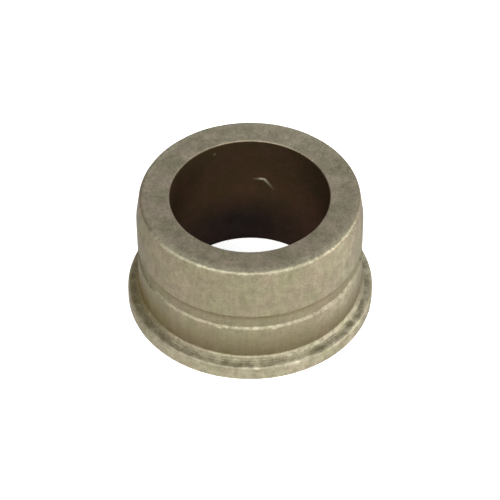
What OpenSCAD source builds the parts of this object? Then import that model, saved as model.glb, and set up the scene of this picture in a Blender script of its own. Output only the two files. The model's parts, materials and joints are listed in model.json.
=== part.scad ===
// Flanged plain bushing of sintered bronze: one solid of revolution.
// +Z is the bore axis. The origin is the centre of the flange's underside.

/* [Bore] */
// Diameter of the running bore for the shaft
bore_d = 22.225; // [18:0.005:25]
// Edge break at each bore mouth
bore_break = 0.15; // [0.05:0.05:0.4]

/* [Body] */
// Outside diameter that presses into the housing
body_d = 31.75; // [31:0.01:32]
// Overall length, flange included
overall_length = 19.3; // [18:0.05:30]
// How far the lead-in draws the top of the wall inwards
lead_in_depth = 0.5; // [0.2:0.05:1]
// Length of the lead-in taper below the top face
lead_in_length = 3.5; // [2:0.1:5]
// Radius of the rounded edge between the lead-in and the top face
rim_round = 0.45; // [0.2:0.05:0.9]

/* [Groove] */
// Height of the groove's lower edge above the flange's underside
groove_height = 8.75; // [6:0.05:9]
// Width of the groove, its sloped lower side included
groove_width = 2.6; // [1.5:0.05:3]
// Depth of the groove, which is also the run of its sloped side
groove_depth = 0.35; // [0.1:0.05:0.6]

/* [Flange] */
// Outside diameter of the flange
flange_d = 34.925; // [34.5:0.005:40]
// Thickness of the flange
flange_thickness = 2.7; // [2:0.05:3]
// Radius of the rounded edge between the flange's side and its upper face
flange_round = 0.4; // [0.2:0.05:0.6]
// Chamfer at the flange's lower edge
flange_chamfer = 0.6; // [0.2:0.05:0.8]

/* [Root collar] */
// How far the collar at the body's root stands out from the wall
collar_step = 0.4; // [0.2:0.05:0.5]
// Height of the collar's upper edge above the flange's underside
collar_height = 3.7; // [3.6:0.05:5]

/* [Hidden] */

// Segments in a full turn, and in each small rounded edge
turn_segments = 180;
round_segments = 6;

bore_r = bore_d / 2;
body_r = body_d / 2;
flange_r = flange_d / 2;
rim_r = body_r - lead_in_depth;
collar_r = body_r + collar_step;
groove_r = body_r - groove_depth;
groove_top = groove_height + groove_width;

// Points of an arc in the radius-height plane, from one angle to another
function arc(centre, radius, from, to) = [
    for (i = [0 : round_segments])
        let (angle = from + (to - from) * i / round_segments)
        centre + radius * [cos(angle), sin(angle)]
];

// The underside and the flange, from the bore outwards and up to the collar
function flange_outline() = concat(
    [
        [bore_r, bore_break],
        [bore_r + bore_break, 0],
        [flange_r - flange_chamfer, 0],
        [flange_r, flange_chamfer],
    ],
    arc([flange_r - flange_round, flange_thickness - flange_round], flange_round, 0, 90),
    [[collar_r, flange_thickness]]
);

// The wall from the collar to the lead-in, with the groove round its middle
function wall_outline() = [
    [collar_r, collar_height - collar_step],
    [body_r, collar_height],
    [body_r, groove_height],
    [groove_r, groove_height + groove_depth],
    [groove_r, groove_top],
    [body_r, groove_top],
    [body_r, overall_length - lead_in_length],
];

// The rounded rim, the top face and the upper bore mouth
function top_outline() = concat(
    arc([rim_r - rim_round, overall_length - rim_round], rim_round, 0, 90),
    [
        [bore_r + bore_break, overall_length],
        [bore_r, overall_length - bore_break],
    ]
);

// The whole bushing: one pressed and sintered ring, turned about the bore axis
module flanged_bushing() {
    color([0.62, 0.585, 0.475])
        rotate_extrude($fn = turn_segments)
            polygon(concat(flange_outline(), wall_outline(), top_outline()));
}

flanged_bushing();
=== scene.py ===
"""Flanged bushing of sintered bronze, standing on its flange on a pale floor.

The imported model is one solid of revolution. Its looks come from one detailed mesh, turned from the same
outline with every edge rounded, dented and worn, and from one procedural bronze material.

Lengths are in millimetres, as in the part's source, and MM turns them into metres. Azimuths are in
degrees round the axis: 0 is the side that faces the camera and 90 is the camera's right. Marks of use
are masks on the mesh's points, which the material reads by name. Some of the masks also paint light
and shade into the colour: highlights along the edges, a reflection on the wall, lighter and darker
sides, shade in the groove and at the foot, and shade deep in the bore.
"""

import json
import math
from dataclasses import dataclass

import bpy
import numpy as np
from mathutils import Matrix, Vector, noise


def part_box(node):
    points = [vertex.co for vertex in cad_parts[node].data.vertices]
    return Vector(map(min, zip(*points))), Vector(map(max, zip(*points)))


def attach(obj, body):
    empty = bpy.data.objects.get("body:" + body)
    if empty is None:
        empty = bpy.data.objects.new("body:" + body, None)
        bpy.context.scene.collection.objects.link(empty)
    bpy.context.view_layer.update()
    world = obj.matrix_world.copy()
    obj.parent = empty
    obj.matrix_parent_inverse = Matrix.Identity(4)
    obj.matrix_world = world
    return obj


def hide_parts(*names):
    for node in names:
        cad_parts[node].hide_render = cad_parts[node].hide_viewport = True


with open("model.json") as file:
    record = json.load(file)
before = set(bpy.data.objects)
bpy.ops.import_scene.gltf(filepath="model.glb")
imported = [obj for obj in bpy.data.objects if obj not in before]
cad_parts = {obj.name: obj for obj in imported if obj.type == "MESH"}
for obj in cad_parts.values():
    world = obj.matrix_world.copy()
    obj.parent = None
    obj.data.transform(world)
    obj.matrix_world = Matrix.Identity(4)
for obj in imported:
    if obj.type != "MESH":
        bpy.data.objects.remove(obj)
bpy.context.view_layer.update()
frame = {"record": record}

MM = 0.001
NODE = "flanged_bushing"
SLOT = "sintered_bronze"

# ---------------------------------------------------------------- sizes from the frame

mounts = {mount["name"]: mount for mount in frame["record"]["mounts"]}
node_low, node_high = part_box(NODE)


def mount_radius(name):
    return mounts[name]["dims"]["r_mm"]


def mount_height(name):
    return mounts[name]["pos_m"][2] / MM


bore_r = mount_radius("shaft_bore")
body_r = mount_radius("housing_seat")
flange_r = node_high.x / MM
top_z = node_high.z / MM
flange_z = mount_height("flange_shoulder")
seat_half = mounts["housing_seat"]["dims"]["length_mm"] / 2
collar_z = mount_height("housing_seat") - seat_half
lead_in_z = mount_height("housing_seat") + seat_half

# ---------------------------------------------------------------- sizes of the smaller features

BORE_BREAK = 0.15
LEAD_IN_DEPTH = 0.5
LEAD_IN_ROUND = 3.0
RIM_ROUND = 0.68  # 0.45 in the model, and worn rounder
GROOVE_Z = 8.75
GROOVE_WIDTH = 2.6
GROOVE_DEPTH = 0.35
COLLAR_STEP = 0.4
FLANGE_ROUND = 0.55  # 0.4 in the model, and worn rounder
FLANGE_CHAMFER = 0.6

groove_top = GROOVE_Z + GROOVE_WIDTH
groove_r = body_r - GROOVE_DEPTH
collar_r = body_r + COLLAR_STEP

# Corners that the model leaves sharp are rounded, as they are on the real part: the collar's widely, and
# the others a little.
OUTER_ROUND = 0.12
INNER_ROUND = 0.1
BREAK_ROUND = 0.06
COLLAR_ROUND = 0.9

# ---------------------------------------------------------------- outline

# Spacing of the outline's points: beside an arc, how fast it grows from there, at most, and on an arc
FINE_STEP = 0.12
STEP_GROWTH = 0.8
COARSE_STEP = 1.6
ARC_STEP = 0.11


@dataclass
class Corner:
    r: float
    z: float
    rounding: float

    @property
    def at(self):
        return Vector((self.r, self.z))


def outline_corners():
    """The outline's corners, along the underside, up the outside and over the top, so that the stretch
    from the last corner back to the first is the bore."""
    return [
        Corner(bore_r, BORE_BREAK, BREAK_ROUND),
        Corner(bore_r + BORE_BREAK, 0, BREAK_ROUND),
        Corner(flange_r - FLANGE_CHAMFER, 0, OUTER_ROUND),
        Corner(flange_r, FLANGE_CHAMFER, OUTER_ROUND),
        Corner(flange_r, flange_z, FLANGE_ROUND),
        Corner(collar_r, flange_z, BREAK_ROUND),
        Corner(collar_r, collar_z - COLLAR_STEP, COLLAR_ROUND),
        Corner(body_r, collar_z, INNER_ROUND),
        Corner(body_r, GROOVE_Z, OUTER_ROUND),
        Corner(groove_r, GROOVE_Z + GROOVE_DEPTH, INNER_ROUND),
        Corner(groove_r, groove_top, INNER_ROUND),
        Corner(body_r, groove_top, BREAK_ROUND),
        Corner(body_r, lead_in_z, LEAD_IN_ROUND),
        Corner(body_r - LEAD_IN_DEPTH, top_z, RIM_ROUND),
        Corner(bore_r + BORE_BREAK, top_z, BREAK_ROUND),
        Corner(bore_r, top_z - BORE_BREAK, BREAK_ROUND),
    ]


def arc_points(before, this, after):
    """Points along the rounding of a corner."""
    back = (before.at - this.at).normalized()
    ahead = (after.at - this.at).normalized()
    half_angle = back.angle(ahead) / 2
    reach = this.rounding / math.tan(half_angle)
    centre = this.at + (back + ahead).normalized() * (this.rounding / math.sin(half_angle))
    start = this.at + back * reach - centre
    sweep = start.angle_signed(this.at + ahead * reach - centre)
    steps = max(2, math.ceil(abs(sweep) * this.rounding / ARC_STEP))
    return [centre + Matrix.Rotation(-sweep * i / steps, 2) @ start for i in range(steps + 1)]


def stretch_points(start, end):
    """Points between two arcs, close together near both ends and further apart in the middle."""
    length = (end - start).length
    near = []
    at = FINE_STEP
    while at < length / 2:
        near.append(at)
        at += min(COARSE_STEP, FINE_STEP + STEP_GROWTH * at)
    middle = [length / 2] if near else []
    return [start.lerp(end, d / length) for d in near + middle + [length - d for d in reversed(near)]]


def outline_points(corners, bore_heights):
    """The closed outline as an array of (r, z), with extra points at those heights in the bore."""
    count = len(corners)
    arcs = [arc_points(corners[i - 1], corners[i], corners[(i + 1) % count]) for i in range(count)]
    points = []
    for arc, after in zip(arcs, arcs[1:]):
        points += arc + stretch_points(arc[-1], after[0])
    bore = stretch_points(arcs[-1][-1], arcs[0][0]) + [Vector((bore_r, z)) for z in bore_heights]
    points += arcs[-1] + sorted(bore, key=lambda point: -point.y)
    return np.array([tuple(point) for point in points])


# ---------------------------------------------------------------- marks left by use, and painted light and shade

# How much the flange's side and the collar's upper edge are rubbed and painted lighter, where the
# flange's top has 1. The foot's lighter colour is partly rubbing and partly painted light.
SIDE_RUB_AND_LIGHT, COLLAR_RUB_AND_LIGHT = 0.3, 0.5
# A painted highlight on a stretch of the flange's top
BRIGHT, BRIGHT_AZIMUTH, BRIGHT_REACH = 0.7, 15, 26

# The painted highlights along the edges fade out towards the camera's left and right, at these two
# azimuths, where the first share below of the edges' wear and painted highlight is missing. On the left,
# as painted shade, so is that share of the rubbing and painted light on the collar, and the second share
# times as much of it on the flange.
LEFT_SIDE, RIGHT_SIDE = -88, 98
SIDE_FADE, SIDE_FADE_ON_FLANGE, SIDE_FADE_REACH = 0.85, 0.4, 46

# A painted reflection on the wall, and how strong it is at each height
LIGHT_AZIMUTH, LIGHT_REACH = 56, 27
LIGHT_HEIGHTS = (5.0, 7.2, GROOVE_Z, GROOVE_Z + GROOVE_DEPTH, groove_top - INNER_ROUND, groove_top)
LIGHT_STRENGTHS = (0, 0.42, 0.42, 0, 0, 0.18)
# Painted light: the top face is lighter on its far half.
TOP_LIGHT, TOP_LIGHT_AZIMUTH, TOP_LIGHT_REACH = 0.3, 165, 150

# Painted shade and dirt round the wall's root: how strong they are there, and how far up they fade out
ROOT_SHADE_AND_SOIL, ROOT_SHADE_AND_SOIL_RISE = 0.69, 6.2
# How far below the groove's upper edge its dense ring of painted shadow and its faint one lie
DENSE_DROP, FAINT_DROP = 0.55, 1.3
# Round this azimuth, on the brighter side, some of the painted shade and dirt is taken away.
LIT_SIDE, LIT_SIDE_AZIMUTH, LIT_SIDE_REACH = 0.35, 75, 60

# A brown stain on one side, over the foot and, less far round, up the wall
STAIN_AZIMUTH = -80
FOOT_STAIN, FOOT_STAIN_REACH = 0.68, 84
WALL_STAIN, WALL_STAIN_REACH, WALL_STAIN_RISE = 1.0, 60, 6.2

# Nicks in the edges and smudges on the flange's top, by azimuth. A nick is a dent with bare metal in it.
# Both are SPOT_STRETCH times as long round the ring as they are wide.
FLANGE_NICKS, COLLAR_NICKS, GROOVE_NICKS = (3, 22, 57), (19.5,), (-15.5, 12)
NICK, NICK_REACH, NICK_DEPTH = 0.6, 0.3, 0.05
SMUDGES = (-42, -34.5, 37, 56, 64)
SMUDGE, SMUDGE_REACH = 0.4, 0.6
SPOT_STRETCH = 2.2

# Oil in the bore, which thins towards the top so that the bore grows darker towards the bottom, and
# painted shade deep in the bore, which is full up to half of the first height below, gone at that height,
# and the second number as strong away from its middle
THIN_OIL = 0.9
BOTTOM_SHADE_TOP, BOTTOM_SHADE_SIDES, BOTTOM_SHADE_AZIMUTH, BOTTOM_SHADE_REACH = 10, 0.35, 187, 72

# Marks in the bore, as (azimuth, height, strength) along each: a scratch that trails off, and a fleck
SCRATCH = (
    (177.5, 12.0, 0.05),
    (174.0, 12.05, 0.3),
    (171.8, 12.1, 1.0),
    (168.9, 12.05, 1.0),
    (166.8, 11.55, 0.5),
    (164.5, 11.0, 0.2),
    (162.0, 10.4, 0.05),
)
FLECK = ((206.3, 17.85, 0.3), (206.7, 17.85, 0.3))
# How wide and deep they are, and how close together the mesh's extra rows of points are there
MARK_REACH, MARK_DEPTH, MARK_ROW = 0.3, 0.03, 0.12

# How deep and how wide the general unevenness is, and the dents and chips of the worn edges
UNEVEN_DEPTH, UNEVEN_SIZE = 0.02, 2.6
DENT_DEPTH, DENT_SIZE = 0.04, 1.1
CHIP_DEPTH, CHIP_SIZE = 0.045, 0.5
# Dents and chips need at least this much wear, and chips are only where their noise is above CHIP_FLOOR.
LEAST_WEAR, CHIP_FLOOR = 0.05, 0.25

# How far inside a square corner the middle of its rounding lies, both ways, for a radius of 1
ROUND_INSET = 1 - math.sqrt(0.5)


@dataclass
class Ring:
    """A ring of wear or dirt round the axis, strongest at r and z and gone at reach from there."""

    r: float
    z: float
    reach: float
    strength: float


def wear_and_highlight_rings():
    """The worn edges, which also carry painted highlights: the flange's two, the collar's, the groove's,
    the rim's and the bore's two.
    """
    flange_edge = FLANGE_ROUND * ROUND_INSET
    rim_edge = RIM_ROUND * ROUND_INSET
    rim_r = body_r - LEAD_IN_DEPTH
    mouth_r = bore_r + BORE_BREAK / 2
    return [
        Ring(flange_r - FLANGE_CHAMFER / 2, FLANGE_CHAMFER / 2, reach=0.9, strength=0.6),
        Ring(flange_r - flange_edge, flange_z - flange_edge, reach=1.0, strength=0.15),
        Ring(body_r + COLLAR_STEP / 2, collar_z - COLLAR_STEP / 2, reach=0.5, strength=0.5),
        Ring(body_r - GROOVE_DEPTH / 2, GROOVE_Z + GROOVE_DEPTH / 2, reach=0.5, strength=0.55),
        Ring(rim_r - rim_edge, top_z - rim_edge, reach=0.7, strength=0.75),
        Ring(rim_r - RIM_ROUND, top_z, reach=0.8, strength=0.9),
        Ring(mouth_r, top_z - BORE_BREAK / 2, reach=0.25, strength=0.6),
        Ring(mouth_r, BORE_BREAK / 2, reach=0.25, strength=0.5),
    ]


def painted_shade_rings():
    """Painted shadow under the groove's upper edge, and painted shade in the corner between the collar
    and the flange.
    """
    return [
        Ring(groove_r, groove_top - DENSE_DROP, reach=0.65, strength=0.75),
        Ring(groove_r, groove_top - FAINT_DROP, reach=1.4, strength=0.22),
        Ring(collar_r, flange_z, reach=0.4, strength=0.4),
    ]


def fade(distance, reach):
    """1 at no distance, falling smoothly to 0 at reach."""
    t = np.clip(1 - distance / reach, 0, 1)
    return t * t * (3 - 2 * t)


def ring_mask(points, rings):
    """The strongest of the rings at each point of the outline."""
    mask = np.zeros(len(points))
    for ring in rings:
        distance = np.hypot(points[:, 0] - ring.r, points[:, 1] - ring.z)
        mask = np.maximum(mask, ring.strength * fade(distance, ring.reach))
    return mask


def row_masks(points):
    """How worn, rubbed, soiled and oily the outline is at each point, with the painted highlights, light
    and shade that these masks carry, and where the top face is.
    """
    r, z = points[:, 0], points[:, 1]
    in_bore = r < bore_r + BORE_BREAK / 2
    foot = (r > collar_r - BREAK_ROUND) & (z > FLANGE_CHAMFER)
    rub_and_light_heights = (flange_z - FLANGE_ROUND / 4, flange_z, collar_z - COLLAR_STEP)
    rub_and_light = foot * np.interp(z, rub_and_light_heights, (SIDE_RUB_AND_LIGHT, 1, COLLAR_RUB_AND_LIGHT))
    root = ROOT_SHADE_AND_SOIL * fade(z - collar_z, ROOT_SHADE_AND_SOIL_RISE) * (z > collar_z) * ~in_bore
    return {
        "wear_and_highlight": ring_mask(points, wear_and_highlight_rings()),
        "rub_and_light": rub_and_light,
        "soil_and_shade": np.maximum(ring_mask(points, painted_shade_rings()), root),
        "oil": in_bore * np.interp(z, (0, top_z), (1, THIN_OIL)),
        "deep": in_bore * np.interp(z, (BOTTOM_SHADE_TOP / 2, BOTTOM_SHADE_TOP), (1, 0)),
        "top": fade(top_z - z, BORE_BREAK) * ~in_bore,
    }


def degrees_from(azimuth, middle):
    """How many degrees each azimuth is from the middle, either way round."""
    return abs((azimuth - middle + 180) % 360 - 180)


def fade_round(azimuth, middle, reach):
    """1 at the middle azimuth, falling smoothly to 0 at reach degrees from it, either way round."""
    return fade(degrees_from(azimuth, middle), reach)


def stain(azimuth, r, z):
    """The brown stain on one side of the foot and, less far round, of the wall."""
    on_wall = z > collar_z
    outside = (r > collar_r - COLLAR_STEP - BREAK_ROUND) & (r < flange_r - FLANGE_ROUND / 2)
    height = fade(z - collar_z, WALL_STAIN_RISE) * (z > FLANGE_CHAMFER)
    strength = np.where(on_wall, WALL_STAIN, FOOT_STAIN)
    reach = np.where(on_wall, WALL_STAIN_REACH, FOOT_STAIN_REACH)
    return strength * fade_round(azimuth, STAIN_AZIMUTH, reach) * outside * height


def faded_side(azimuth, side):
    """How much of the wear and painted highlight is missing at each azimuth, on that side."""
    return SIDE_FADE * fade_round(azimuth, side, SIDE_FADE_REACH)


def rub_and_light_share(azimuth, z):
    """How strong the rubbing and painted light are: less on the camera's left, where the painted
    highlights fade, and more on one stretch of the flange, as a painted highlight.
    """
    kept = 1 - faded_side(azimuth, LEFT_SIDE) * np.where(z > flange_z + BREAK_ROUND, 1, SIDE_FADE_ON_FLANGE)
    on_flange = (z > flange_z - FLANGE_ROUND / 2) & (z < flange_z + BREAK_ROUND)
    return kept + BRIGHT * fade_round(azimuth, BRIGHT_AZIMUTH, BRIGHT_REACH) * on_flange


def painted_light_patches(azimuth, r, z):
    """Painted light: a reflection on one part of the wall, and a lighter far half of the top face."""
    outside = r > bore_r + BORE_BREAK
    on_wall = outside & (z > collar_z) & (z < top_z - RIM_ROUND)
    wall_strength = np.interp(z, LIGHT_HEIGHTS, LIGHT_STRENGTHS)
    wall = fade_round(azimuth, LIGHT_AZIMUTH, LIGHT_REACH) * wall_strength
    top = TOP_LIGHT * fade_round(azimuth, TOP_LIGHT_AZIMUTH, TOP_LIGHT_REACH)
    return wall * on_wall + top * outside * (z > top_z - BREAK_ROUND)


def bottom_shade(azimuth):
    """How much of the painted shade deep in the bore is at each azimuth."""
    return BOTTOM_SHADE_SIDES + (1 - BOTTOM_SHADE_SIDES) * fade_round(azimuth, BOTTOM_SHADE_AZIMUTH, BOTTOM_SHADE_REACH)


def bore_mark(azimuth, r, z, path):
    """A mark in the bore: as strong as its path says on the path, and gone at MARK_REACH from it."""
    places = np.column_stack((np.radians(azimuth) * bore_r, z))
    mask = np.zeros(len(places))
    for (azimuth_1, z_1, strength_1), (azimuth_2, z_2, strength_2) in zip(path, path[1:]):
        start = np.array((math.radians(azimuth_1) * bore_r, z_1))
        along = np.array((math.radians(azimuth_2) * bore_r, z_2)) - start
        share = np.clip((places - start) @ along / (along @ along), 0, 1)
        gap = places - start - share[:, None] * along
        strength = strength_1 + (strength_2 - strength_1) * share
        mask = np.maximum(mask, strength * fade(np.hypot(gap[:, 0], gap[:, 1]), MARK_REACH))
    return mask * (r < bore_r + BREAK_ROUND)


def bore_marks(azimuth, r, z):
    """Both marks in the bore. The fleck is past 180 degrees, so it is looked for from 0 to 360."""
    scratch = bore_mark(azimuth, r, z, SCRATCH)
    fleck = bore_mark(azimuth % 360, r, z, FLECK)
    return np.maximum(scratch, fleck)


def mark_heights():
    """The rows of points that the marks in the bore need."""
    rows = []
    for path in (SCRATCH, FLECK):
        heights = [height for _, height, _ in path]
        rows += list(np.arange(min(heights) - MARK_REACH, max(heights) + MARK_REACH, MARK_ROW))
    return rows


def nick_places():
    """Azimuth, radius and height of each nick."""
    inset = FLANGE_ROUND / 4
    edges = (
        (FLANGE_NICKS, flange_r - inset, flange_z - inset),
        (COLLAR_NICKS, collar_r, collar_z - COLLAR_STEP),
        (GROOVE_NICKS, body_r, GROOVE_Z),
    )
    return [(azimuth, r, z) for azimuths, r, z in edges for azimuth in azimuths]


def smudge_places():
    """Azimuth, radius and height of each smudge."""
    middle = (collar_r + flange_r) / 2
    return [(azimuth, middle, flange_z) for azimuth in SMUDGES]


def spots(azimuth, r, z, places, reach):
    """1 at each place, falling to 0 at reach from it, or at SPOT_STRETCH times that round the ring."""
    mask = np.zeros(len(azimuth))
    for middle, place_r, place_z in places:
        round_ring = np.radians(degrees_from(azimuth, middle)) * place_r / SPOT_STRETCH
        gap = np.sqrt(round_ring**2 + (r - place_r) ** 2 + (z - place_z) ** 2)
        mask = np.maximum(mask, fade(gap, reach))
    return mask


def wear_depth(x, y, z, wear_and_highlight):
    """How far general wear has taken the surface inside the model's, in millimetres."""
    at = Vector((x, y, z))
    depth = UNEVEN_DEPTH * (0.5 + 0.5 * noise.noise(at / UNEVEN_SIZE))
    if wear_and_highlight > LEAST_WEAR:
        depth += wear_and_highlight * DENT_DEPTH * max(0.0, noise.noise(at / DENT_SIZE))
        depth += wear_and_highlight * CHIP_DEPTH * max(0.0, noise.noise(at / CHIP_SIZE) - CHIP_FLOOR)
    return depth


# ---------------------------------------------------------------- mesh

# The mesh has a row of points for each point of the outline, with this many points round the axis.
TURN_STEPS = 540


def inward_normals(points):
    """Unit vectors into the metal at each point of the outline."""
    along = np.roll(points, -1, axis=0) - np.roll(points, 1, axis=0)
    along /= np.linalg.norm(along, axis=1)[:, None]
    return np.column_stack((-along[:, 1], along[:, 0]))


def spread(row_values):
    """The rows' values, repeated for every point of each row."""
    return np.repeat(row_values, TURN_STEPS)


def all_masks(points, azimuth, r, z, nicked, marked):
    """Every mask at every point of the mesh: the outline's, and what differs round the axis."""
    masks = {key: spread(values) for key, values in row_masks(points).items()}
    smudged = SMUDGE * spots(azimuth, r, z, smudge_places(), SMUDGE_REACH)
    masks["stain"] = np.maximum(stain(azimuth, r, z), smudged)
    masks["bare"] = np.maximum(NICK * nicked, marked)
    # Less of the painted shade and dirt on the brighter side
    masks["soil_and_shade"] *= 1 - LIT_SIDE * fade_round(azimuth, LIT_SIDE_AZIMUTH, LIT_SIDE_REACH)
    # The painted highlights along the edges fade on the camera's left and right.
    masks["wear_and_highlight"] *= 1 - faded_side(azimuth, LEFT_SIDE) - faded_side(azimuth, RIGHT_SIDE)
    # The rubbing also carries painted light: a reflection on the wall and a lighter far half of the top
    # face.
    masks["rub_and_light"] = masks["rub_and_light"] * rub_and_light_share(azimuth, z) + painted_light_patches(azimuth, r, z)
    masks["deep"] *= bottom_shade(azimuth)
    return masks


def ring_faces(rows):
    """The faces between the rows, and between the last row and the first, as numbers of points."""
    below = np.arange(rows * TURN_STEPS).reshape(rows, TURN_STEPS)
    above = np.roll(below, -1, axis=0)
    faces = np.stack((below, np.roll(below, -1, axis=1), np.roll(above, -1, axis=1), above), axis=-1)
    return faces.reshape(-1, 4)


def smooth_piece(name, places, faces, masks):
    """An object with that mesh, shaded smooth, whose points keep the masks as attributes."""
    mesh = bpy.data.meshes.new(name)
    mesh.from_pydata(places.tolist(), [], faces.tolist())
    for key, values in masks.items():
        mesh.attributes.new(key, "FLOAT", "POINT").data.foreach_set("value", values)
    mesh.polygons.foreach_set("use_smooth", [True] * len(mesh.polygons))
    mesh.update()
    piece = bpy.data.objects.new(name, mesh)
    bpy.context.collection.objects.link(piece)
    return piece


def turned_ring(name):
    """The outline turned round the axis as one closed mesh, dented, with its masks on its points."""
    points = outline_points(outline_corners(), mark_heights())
    inward = inward_normals(points)
    rows = len(points)
    turn = np.linspace(0, 2 * math.pi, TURN_STEPS, endpoint=False)
    cos, sin = np.tile(np.cos(turn), rows), np.tile(np.sin(turn), rows)
    azimuth = np.degrees(np.arctan2(cos, -sin))
    r, z = spread(points[:, 0]), spread(points[:, 1])

    nicked = spots(azimuth, r, z, nick_places(), NICK_REACH)
    marked = bore_marks(azimuth, r, z)
    masks = all_masks(points, azimuth, r, z, nicked, marked)
    depth = np.array([wear_depth(*at) for at in zip(r * cos, r * sin, z, masks["wear_and_highlight"])])
    depth += NICK_DEPTH * nicked + MARK_DEPTH * marked
    r = r + depth * spread(inward[:, 0])
    z = z + depth * spread(inward[:, 1])
    places = np.column_stack((r * cos, r * sin, z)) * MM
    return smooth_piece(name, places, ring_faces(rows), masks)


# ---------------------------------------------------------------- material

# The range that noise mostly stays in
NOISE_LOW, NOISE_HIGH = 0.3, 0.7
# How far a pit's edge and its even middle are from the middle of its cell, for a cell's size of 1
PIT_EDGE, PIT_MIDDLE = 0.34, 0.1
# The mix node's sockets for its first and second value and its result, for numbers and for colours
NUMBER_SOCKETS, COLOUR_SOCKETS = (2, 3, 0), (6, 7, 2)


class Graph:
    """Short calls that add nodes to a material and return the socket they give."""

    def __init__(self, material):
        self.tree = material.node_tree
        coordinates = self.tree.nodes.new("ShaderNodeTexCoord")
        self.place = self.scaled(coordinates.outputs["Object"], (1 / MM, 1 / MM, 1 / MM))

    def put(self, socket, value):
        if isinstance(value, bpy.types.NodeSocket):
            self.tree.links.new(value, socket)
        else:
            socket.default_value = value

    def math(self, operation, first, second=0.0):
        node = self.tree.nodes.new("ShaderNodeMath")
        node.operation = operation
        self.put(node.inputs[0], first)
        self.put(node.inputs[1], second)
        return node.outputs[0]

    def scaled(self, vector, factors):
        node = self.tree.nodes.new("ShaderNodeVectorMath")
        node.operation = "MULTIPLY"
        self.put(node.inputs[0], vector)
        self.put(node.inputs[1], factors)
        return node.outputs[0]

    def mask(self, name):
        node = self.tree.nodes.new("ShaderNodeAttribute")
        node.attribute_name = name
        return node.outputs["Fac"]

    def noise(self, size, detail=2.0, stretch=1.0, offset=0.0):
        """Noise from 0 to 1 whose blobs are about size wide and stretch times as tall."""
        node = self.tree.nodes.new("ShaderNodeTexNoise")
        node.noise_dimensions = "4D"
        self.put(node.inputs["Vector"], self.scaled(self.place, (1, 1, 1 / stretch)))
        node.inputs["W"].default_value = offset
        node.inputs["Scale"].default_value = 1 / size
        node.inputs["Detail"].default_value = detail
        return node.outputs["Fac"]

    def pits(self, size):
        """1 in the middle of scattered round spots, 0 away from them."""
        node = self.tree.nodes.new("ShaderNodeTexVoronoi")
        self.put(node.inputs["Vector"], self.place)
        node.inputs["Scale"].default_value = 1 / size
        return self.span(node.outputs["Distance"], PIT_EDGE, PIT_MIDDLE)

    def span(self, value, low=NOISE_LOW, high=NOISE_HIGH, to_low=0.0, to_high=1.0):
        """Value moved smoothly from the range low..high to the range to_low..to_high."""
        node = self.tree.nodes.new("ShaderNodeMapRange")
        node.interpolation_type = "SMOOTHSTEP"
        for key, number in (("Value", value), ("From Min", low), ("From Max", high)):
            self.put(node.inputs[key], number)
        self.put(node.inputs["To Min"], to_low)
        self.put(node.inputs["To Max"], to_high)
        return node.outputs["Result"]

    def varied(self, value, amount):
        """A factor that goes from 1 - amount to 1 + amount with the noise that is given."""
        return self.span(value, to_low=1 - amount, to_high=1 + amount)

    def product(self, first, *others):
        """All the numbers multiplied."""
        for other in others:
            first = self.math("MULTIPLY", first, other)
        return first

    def mixed(self, node, sockets, amount, first, second):
        """What a mix node gives for the kind of value that its sockets are for."""
        first_socket, second_socket, result = sockets
        self.put(node.inputs["Factor"], amount)
        self.put(node.inputs[first_socket], first)
        self.put(node.inputs[second_socket], second)
        return node.outputs[result]

    def blend(self, amount, first, second, mode="MIX"):
        """Two colours mixed."""
        node = self.tree.nodes.new("ShaderNodeMix")
        node.data_type = "RGBA"
        node.blend_type = mode
        return self.mixed(node, COLOUR_SOCKETS, amount, first, second)

    def between(self, amount, first, second):
        """Two numbers mixed."""
        return self.mixed(self.tree.nodes.new("ShaderNodeMix"), NUMBER_SOCKETS, amount, first, second)

    def shade(self, colour, brightness):
        """Colour times a number."""
        node = self.tree.nodes.new("ShaderNodeVectorMath")
        node.operation = "SCALE"
        self.put(node.inputs[0], colour)
        self.put(node.inputs["Scale"], brightness)
        return node.outputs[0]

    def bump(self, height, depth, normal=None):
        """A normal bent by height, on top of the one that is given."""
        node = self.tree.nodes.new("ShaderNodeBump")
        node.inputs["Distance"].default_value = depth * MM
        self.put(node.inputs["Height"], height)
        if normal is not None:
            self.put(node.inputs["Normal"], normal)
        return node.outputs["Normal"]


# The metal's two colours, and what they are multiplied by on the top face, which turns it bluer and, as
# painted light, lighter
OLIVE = (0.216, 0.197, 0.121, 1)
ROSE = (0.229, 0.194, 0.131, 1)
TOP_TINT_AND_LIGHT = (1.41, 1.40, 1.57, 1)
# The colours of what lies over it. The rubbed and burnished ones are partly painted light and highlights,
# the plain dirt colour is partly painted shade, and the darkest oil colour is painted shade deep in the
# bore.
RUBBED_AND_LIT = (0.53, 0.50, 0.37, 1)
BURNISHED_AND_HIGHLIT = (0.40, 0.372, 0.262, 1)
BARE = (0.55, 0.50, 0.36, 1)
SHADE_AND_DIRT = (0.098, 0.070, 0.026, 1)
BROWN_DIRT = (0.098, 0.067, 0.008, 1)
RED_OIL = (0.058, 0.023, 0.010, 1)
OLIVE_OIL = (0.047, 0.027, 0.008, 1)
DEEP_SHADE = (0.009, 0.004, 0.004, 1)
# The tint of what is seen mirrored at a low angle
EDGE_TINT = (0.36, 0.35, 0.40, 1)

# The plain metal's roughness goes from the first to the second of these with its grain.
SMOOTHEST, ROUGHEST = 0.42, 0.56
LAYER_ROUGHNESS = {"rubbed_and_lit": 0.6, "polished_and_highlit": 0.48, "dirty_and_shaded": 0.62, "oily": 0.55, "bare": 0.4}
METALLIC, SHADE_AND_DIRT_METALLIC = 0.85, 0.6
GRAIN_DEPTH, PIT_DEPTH = 0.02, 0.02
# How bright the metal is in a pit, and how much of the dirt and painted shade is left where an edge is
# worn
PIT_SHADE, DIRT_AND_SHADE_ON_WORN = 0.86, 0.2


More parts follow.
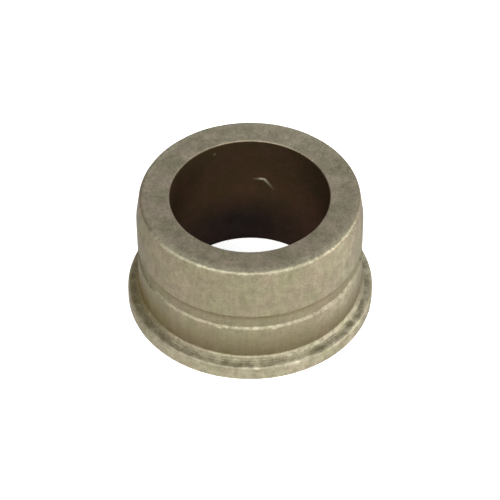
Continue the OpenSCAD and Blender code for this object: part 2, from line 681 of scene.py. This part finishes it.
def metal_colour(graph, top, clouds):
    """Olive and rose clouds, which are bluer on the top face, and lighter there as painted light."""
    colour = graph.blend(graph.span(clouds, 0.33, 0.67), OLIVE, ROSE)
    return graph.blend(top, colour, graph.blend(1.0, colour, TOP_TINT_AND_LIGHT, "MULTIPLY"))


def metal_brightness(graph, top, noises):
    """How bright the metal is, about 1: blotches, grain, streaks, pits, and clouds on the top face."""
    streaks = graph.noise(size=0.6, detail=3, stretch=9, offset=2)
    return graph.product(
        graph.varied(noises["blotches"], 0.1),
        graph.varied(noises["grain"], 0.14),
        graph.varied(streaks, 0.06),
        graph.between(noises["pits"], 1.0, PIT_SHADE),
        graph.between(top, 1.0, graph.varied(noises["clouds"], 0.1)),
    )


def rubbed_and_lit_amount(graph, rub_and_light):
    """Where the metal is rubbed bright, and where painted light lies on it, in patches."""
    patches = graph.noise(size=1.1, detail=3, offset=15)
    return graph.product(rub_and_light, graph.span(patches, 0.35, 0.65, to_low=0.3))


def polished_and_highlit_amount(graph, wear_and_highlight):
    """Where the worn edges are polished and painted highlights lie, with an uneven border."""
    flaky = graph.noise(size=0.7, detail=3, offset=6)
    border = graph.math("ADD", wear_and_highlight, graph.span(flaky, to_low=-0.3, to_high=0.15))
    return graph.product(graph.span(border, 0.0, 1.0), graph.span(wear_and_highlight, 0.0, 0.2))


def dirt_and_shade_amount(graph, masks, blotches):
    """Where the soil, the painted shade and the stain are, all uneven and mostly gone from the worn
    edges.
    """
    flecks = graph.noise(size=0.5, detail=2, stretch=2.5, offset=18)
    soiled_and_shaded = graph.product(masks["soil_and_shade"], graph.span(blotches, 0.25, 0.6, to_low=0.55))
    smeared = graph.product(masks["stain"], graph.span(flecks, 0.35, 0.6, to_low=0.8))
    left = graph.between(masks["wear_and_highlight"], 1.0, DIRT_AND_SHADE_ON_WORN)
    return graph.product(graph.math("MAXIMUM", soiled_and_shaded, smeared), left)


def bronze_layers(graph, masks, noises):
    """How much there is of each layer over the plain metal, from the lowest one up."""
    return {
        "rubbed_and_lit": rubbed_and_lit_amount(graph, masks["rub_and_light"]),
        "polished_and_highlit": polished_and_highlit_amount(graph, masks["wear_and_highlight"]),
        "dirty_and_shaded": dirt_and_shade_amount(graph, masks, noises["blotches"]),
        "oily": graph.product(masks["oil"], graph.span(noises["smears"], to_low=0.97)),
        "bare": masks["bare"],
    }


def bronze_colour(graph, masks, noises, layers):
    """The metal's colour with its layers, some of which paint highlights, light and shade. The rubbed and
    polished ones share its uneven brightness.
    """
    shade_and_dirt_colour = graph.blend(graph.span(masks["stain"], 0.0, 0.6), SHADE_AND_DIRT, BROWN_DIRT)
    oil_colour = graph.blend(graph.span(noises["smears"], 0.35, 0.65), RED_OIL, OLIVE_OIL)
    colour = metal_colour(graph, masks["top"], noises["clouds"])
    colour = graph.blend(layers["rubbed_and_lit"], colour, RUBBED_AND_LIT)
    colour = graph.blend(layers["polished_and_highlit"], colour, BURNISHED_AND_HIGHLIT)
    colour = graph.shade(colour, metal_brightness(graph, masks["top"], noises))
    colour = graph.blend(layers["dirty_and_shaded"], colour, shade_and_dirt_colour)
    # Deep in the bore the oil's colour gives way to painted shade.
    colour = graph.blend(layers["oily"], colour, graph.blend(masks["deep"], oil_colour, DEEP_SHADE))
    return graph.blend(layers["bare"], colour, BARE)


def bronze_roughness(graph, grain, layers):
    roughness = graph.span(grain, to_low=SMOOTHEST, to_high=ROUGHEST)
    for name, layer in layers.items():
        roughness = graph.between(layer, roughness, LAYER_ROUGHNESS[name])
    return roughness


def bronze_metallic(graph, layers):
    """Dirt and painted shade are less metallic than the metal, but not where oil lies over it."""
    metallic = graph.between(layers["dirty_and_shaded"], METALLIC, SHADE_AND_DIRT_METALLIC)
    return graph.between(layers["oily"], metallic, METALLIC)


def bronze_normal(graph, noises):
    """The grain's small bumps, and the pits."""
    grained = graph.bump(noises["grain"], GRAIN_DEPTH)
    return graph.bump(graph.math("SUBTRACT", 1.0, noises["pits"]), PIT_DEPTH, grained)


def bronze_material():
    material = bpy.data.materials.new(SLOT)
    material.use_nodes = True
    graph = Graph(material)
    names = ("wear_and_highlight", "rub_and_light", "soil_and_shade", "stain", "bare", "oil", "deep", "top")
    masks = {name: graph.mask(name) for name in names}
    noises = {
        "grain": graph.noise(size=0.3, detail=3),
        "clouds": graph.noise(size=3.0, detail=2, offset=4),
        "blotches": graph.noise(size=1.1, detail=3, offset=9),
        "smears": graph.noise(size=2.4, detail=3, offset=12),
        "pits": graph.pits(size=0.55),
    }
    layers = bronze_layers(graph, masks, noises)

    shader = graph.tree.nodes["Principled BSDF"]
    graph.put(shader.inputs["Base Color"], bronze_colour(graph, masks, noises, layers))
    graph.put(shader.inputs["Metallic"], bronze_metallic(graph, layers))
    graph.put(shader.inputs["Roughness"], bronze_roughness(graph, noises["grain"], layers))
    graph.put(shader.inputs["Normal"], bronze_normal(graph, noises))
    graph.put(shader.inputs["Specular Tint"], EDGE_TINT)
    return material


bushing = turned_ring("bushing_ring")
bushing.data.materials.append(bronze_material())
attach(bushing, "root")
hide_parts(NODE)

# ---------------------------------------------------------------- floor, light and camera

WHITE = (1, 1, 1, 1)
FLOOR_COLOUR = (0.9, 0.9, 0.9, 1)
FLOOR_ROUGHNESS = 0.9
FLOOR_SIZE = 1200
FLOOR_GAP = 0.02
# The floor is a light table and the room is white. Both are brighter on the camera's right. The room's
# width is that of its texture coordinate, which goes from -1 to 1.
FLOOR_GLOW_LEFT, FLOOR_GLOW_RIGHT, FLOOR_GLOW_WIDTH = 0.5, 1.0, 80
ROOM_GLOW_LEFT, ROOM_GLOW_RIGHT, ROOM_GLOW_WIDTH = 0.3, 0.75, 2

AIM_HEIGHT = 8.6
CAMERA_DISTANCE = 383
CAMERA_ELEVATION = 44.56
CAMERA_ROLL = -0.25
CLIP_START = 10
LENS = 195


def across(tree, coordinate, width, left, right):
    """A number that goes from left to right over that width, by the X of a texture coordinate."""
    coordinates = tree.nodes.new("ShaderNodeTexCoord")
    parts = tree.nodes.new("ShaderNodeSeparateXYZ")
    rise = tree.nodes.new("ShaderNodeMapRange")
    rise.inputs["From Min"].default_value = -width / 2
    rise.inputs["From Max"].default_value = width / 2
    rise.inputs["To Min"].default_value = left
    rise.inputs["To Max"].default_value = right
    tree.links.new(coordinates.outputs[coordinate], parts.inputs[0])
    tree.links.new(parts.outputs["X"], rise.inputs["Value"])
    return rise.outputs["Result"]


def floor():
    low = node_low.z - FLOOR_GAP * MM
    bpy.ops.mesh.primitive_plane_add(size=FLOOR_SIZE * MM, location=(0, 0, low))
    plane = bpy.context.object
    plane.name = "floor"
    material = bpy.data.materials.new("pale_floor")
    material.use_nodes = True
    shader = material.node_tree.nodes["Principled BSDF"]
    shader.inputs["Base Color"].default_value = FLOOR_COLOUR
    shader.inputs["Roughness"].default_value = FLOOR_ROUGHNESS
    shader.inputs["Emission Color"].default_value = WHITE
    width = FLOOR_GLOW_WIDTH * MM
    glow = across(material.node_tree, "Object", width, FLOOR_GLOW_LEFT, FLOOR_GLOW_RIGHT)
    material.node_tree.links.new(glow, shader.inputs["Emission Strength"])
    plane.data.materials.append(material)


def towards(azimuth, elevation):
    """The unit vector from the object that way."""
    turn, rise = math.radians(azimuth), math.radians(elevation)
    return Vector((math.sin(turn) * math.cos(rise), -math.cos(turn) * math.cos(rise), math.sin(rise)))


def soft_light(name, azimuth, elevation, distance, width, height, power):
    """A rectangular area light in metres and watts that looks at the object."""
    light = bpy.data.lights.new(name, "AREA")
    light.energy = power
    light.shape = "RECTANGLE"
    light.size = width
    light.size_y = height
    lamp = bpy.data.objects.new(name, light)
    away = towards(azimuth, elevation)
    lamp.location = away * distance
    lamp.rotation_euler = away.to_track_quat("Z", "Y").to_euler()
    bpy.context.collection.objects.link(lamp)


def studio():
    floor()
    world = bpy.data.worlds.new("studio")
    world.use_nodes = True
    background = world.node_tree.nodes["Background"]
    glow = across(world.node_tree, "Generated", ROOM_GLOW_WIDTH, ROOM_GLOW_LEFT, ROOM_GLOW_RIGHT)
    world.node_tree.links.new(glow, background.inputs["Strength"])
    background.inputs["Color"].default_value = WHITE
    bpy.context.scene.world = world
    soft_light("key", azimuth=-12, elevation=45, distance=0.8, width=2.3, height=0.5, power=11.0)
    soft_light("fill", azimuth=82, elevation=8, distance=0.7, width=0.6, height=0.18, power=2.2)
    bpy.context.scene.view_settings.view_transform = "Standard"


def camera():
    """The photograph's view: well above the object, from far off, with a very slight roll."""
    data = bpy.data.cameras.new("camera")
    data.lens = LENS
    data.clip_start = CLIP_START * MM
    eye = bpy.data.objects.new("camera", data)
    back = towards(0, CAMERA_ELEVATION)
    roll = Matrix.Rotation(math.radians(CAMERA_ROLL), 4, "Z")
    turn = back.to_track_quat("Z", "Y").to_matrix().to_4x4() @ roll
    place = Vector((0, 0, AIM_HEIGHT)) + back * CAMERA_DISTANCE
    eye.matrix_world = Matrix.Translation(place * MM) @ turn
    bpy.context.collection.objects.link(eye)
    bpy.context.scene.camera = eye


studio()
camera()
